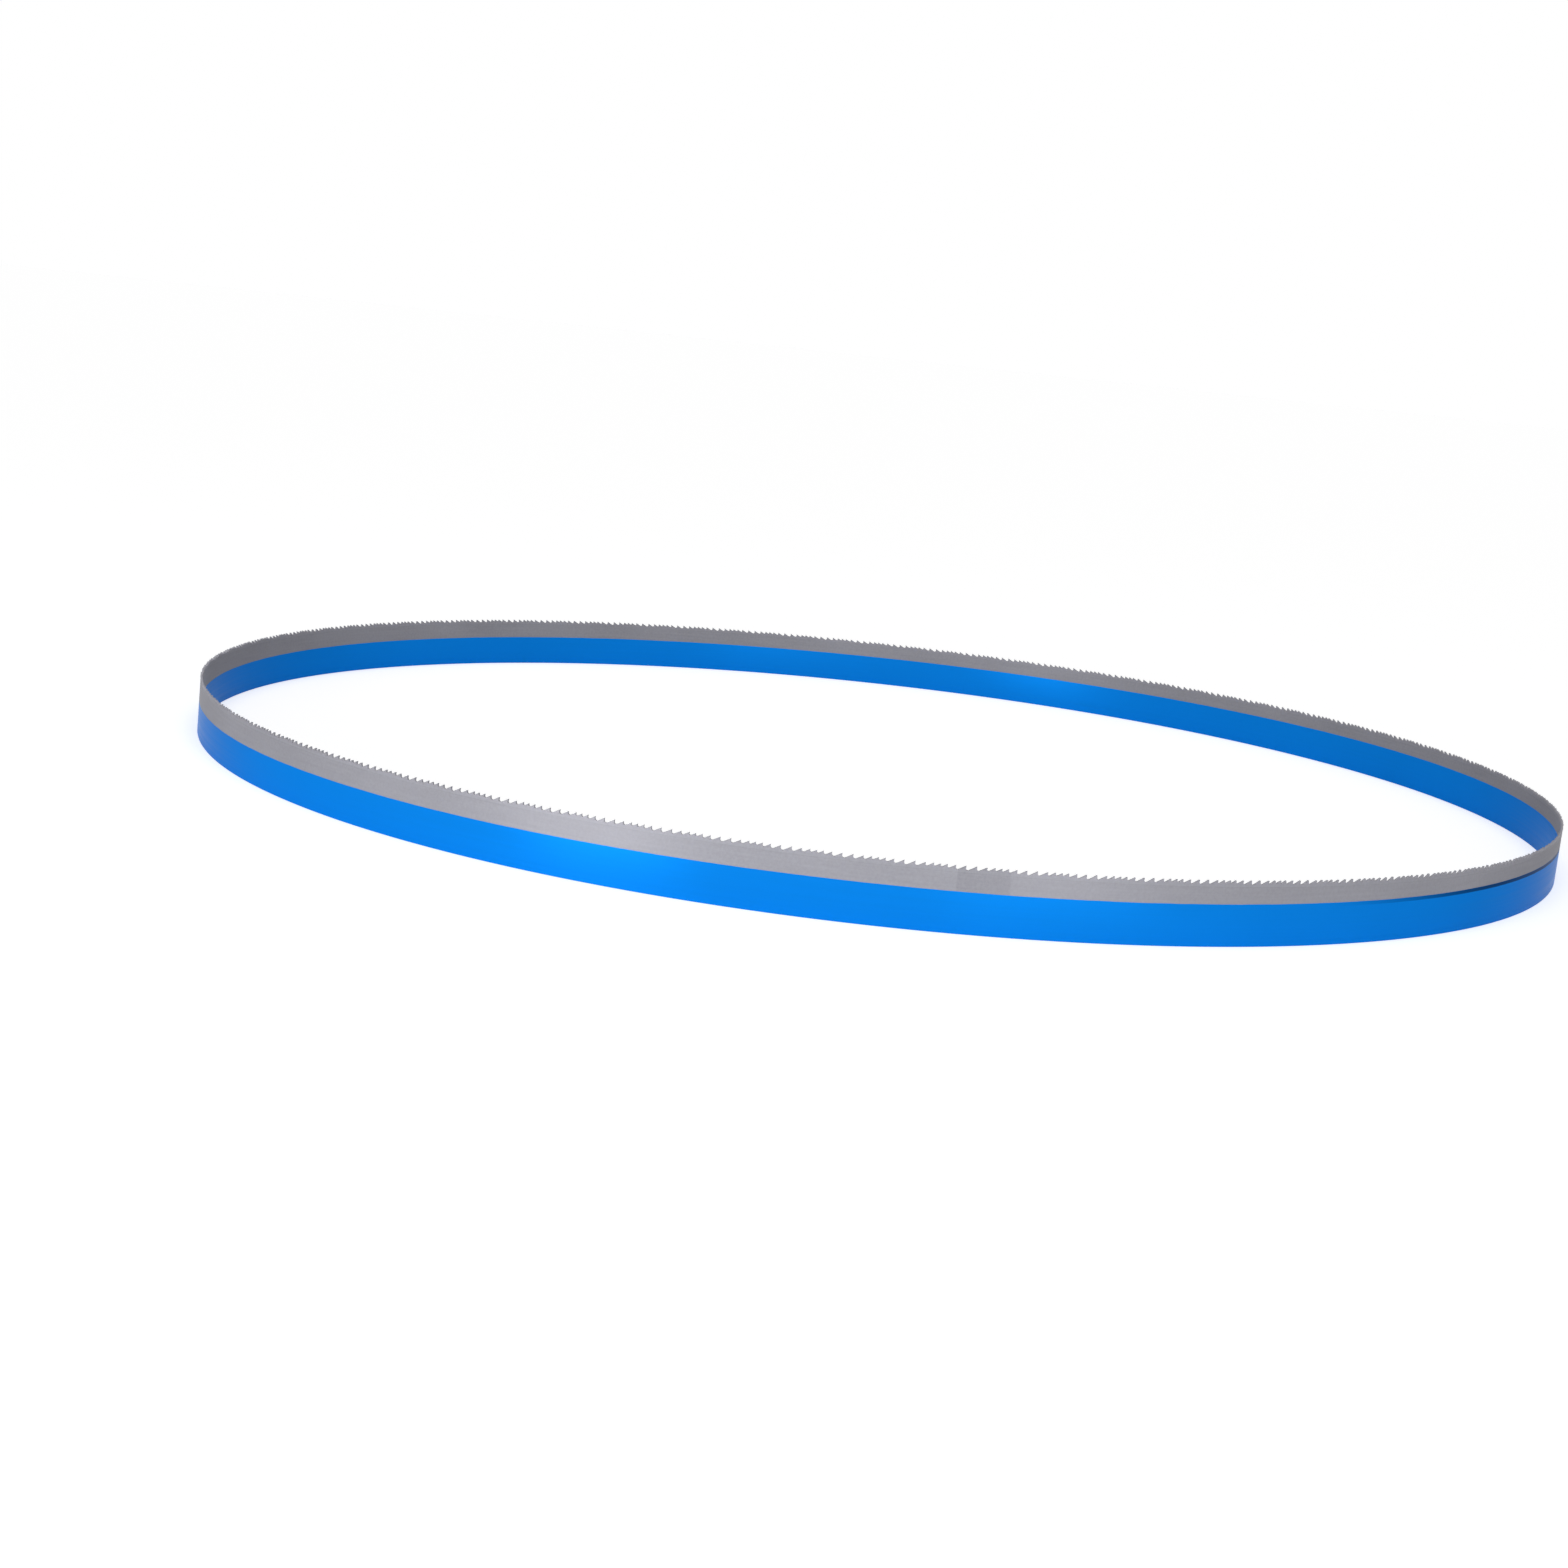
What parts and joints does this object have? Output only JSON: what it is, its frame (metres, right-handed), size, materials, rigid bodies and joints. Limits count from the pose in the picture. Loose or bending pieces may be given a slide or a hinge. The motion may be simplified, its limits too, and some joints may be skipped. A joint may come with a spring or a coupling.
{
  "type": "band saw blade",
  "caption": "Endless toothed steel band in a round hoop, painted below a bare toothed edge, for a metal-cutting band saw.",
  "frame": {"origin": "centre of the hoop, in the plane of its back edge, which is what it lies on", "axes": "+Z is the hoop's axis, from the plain back edge to the tooth tips; the teeth point anticlockwise seen from +Z"},
  "size_m": [0.684, 0.684, 0.0271],
  "materials": {
    "painted_steel": "gloss blue paint, with a bare ground steel strip under the teeth"
  },
  "bodies": {
    "root": {"blade_band": "painted_steel"}
  },
  "joints": []
}
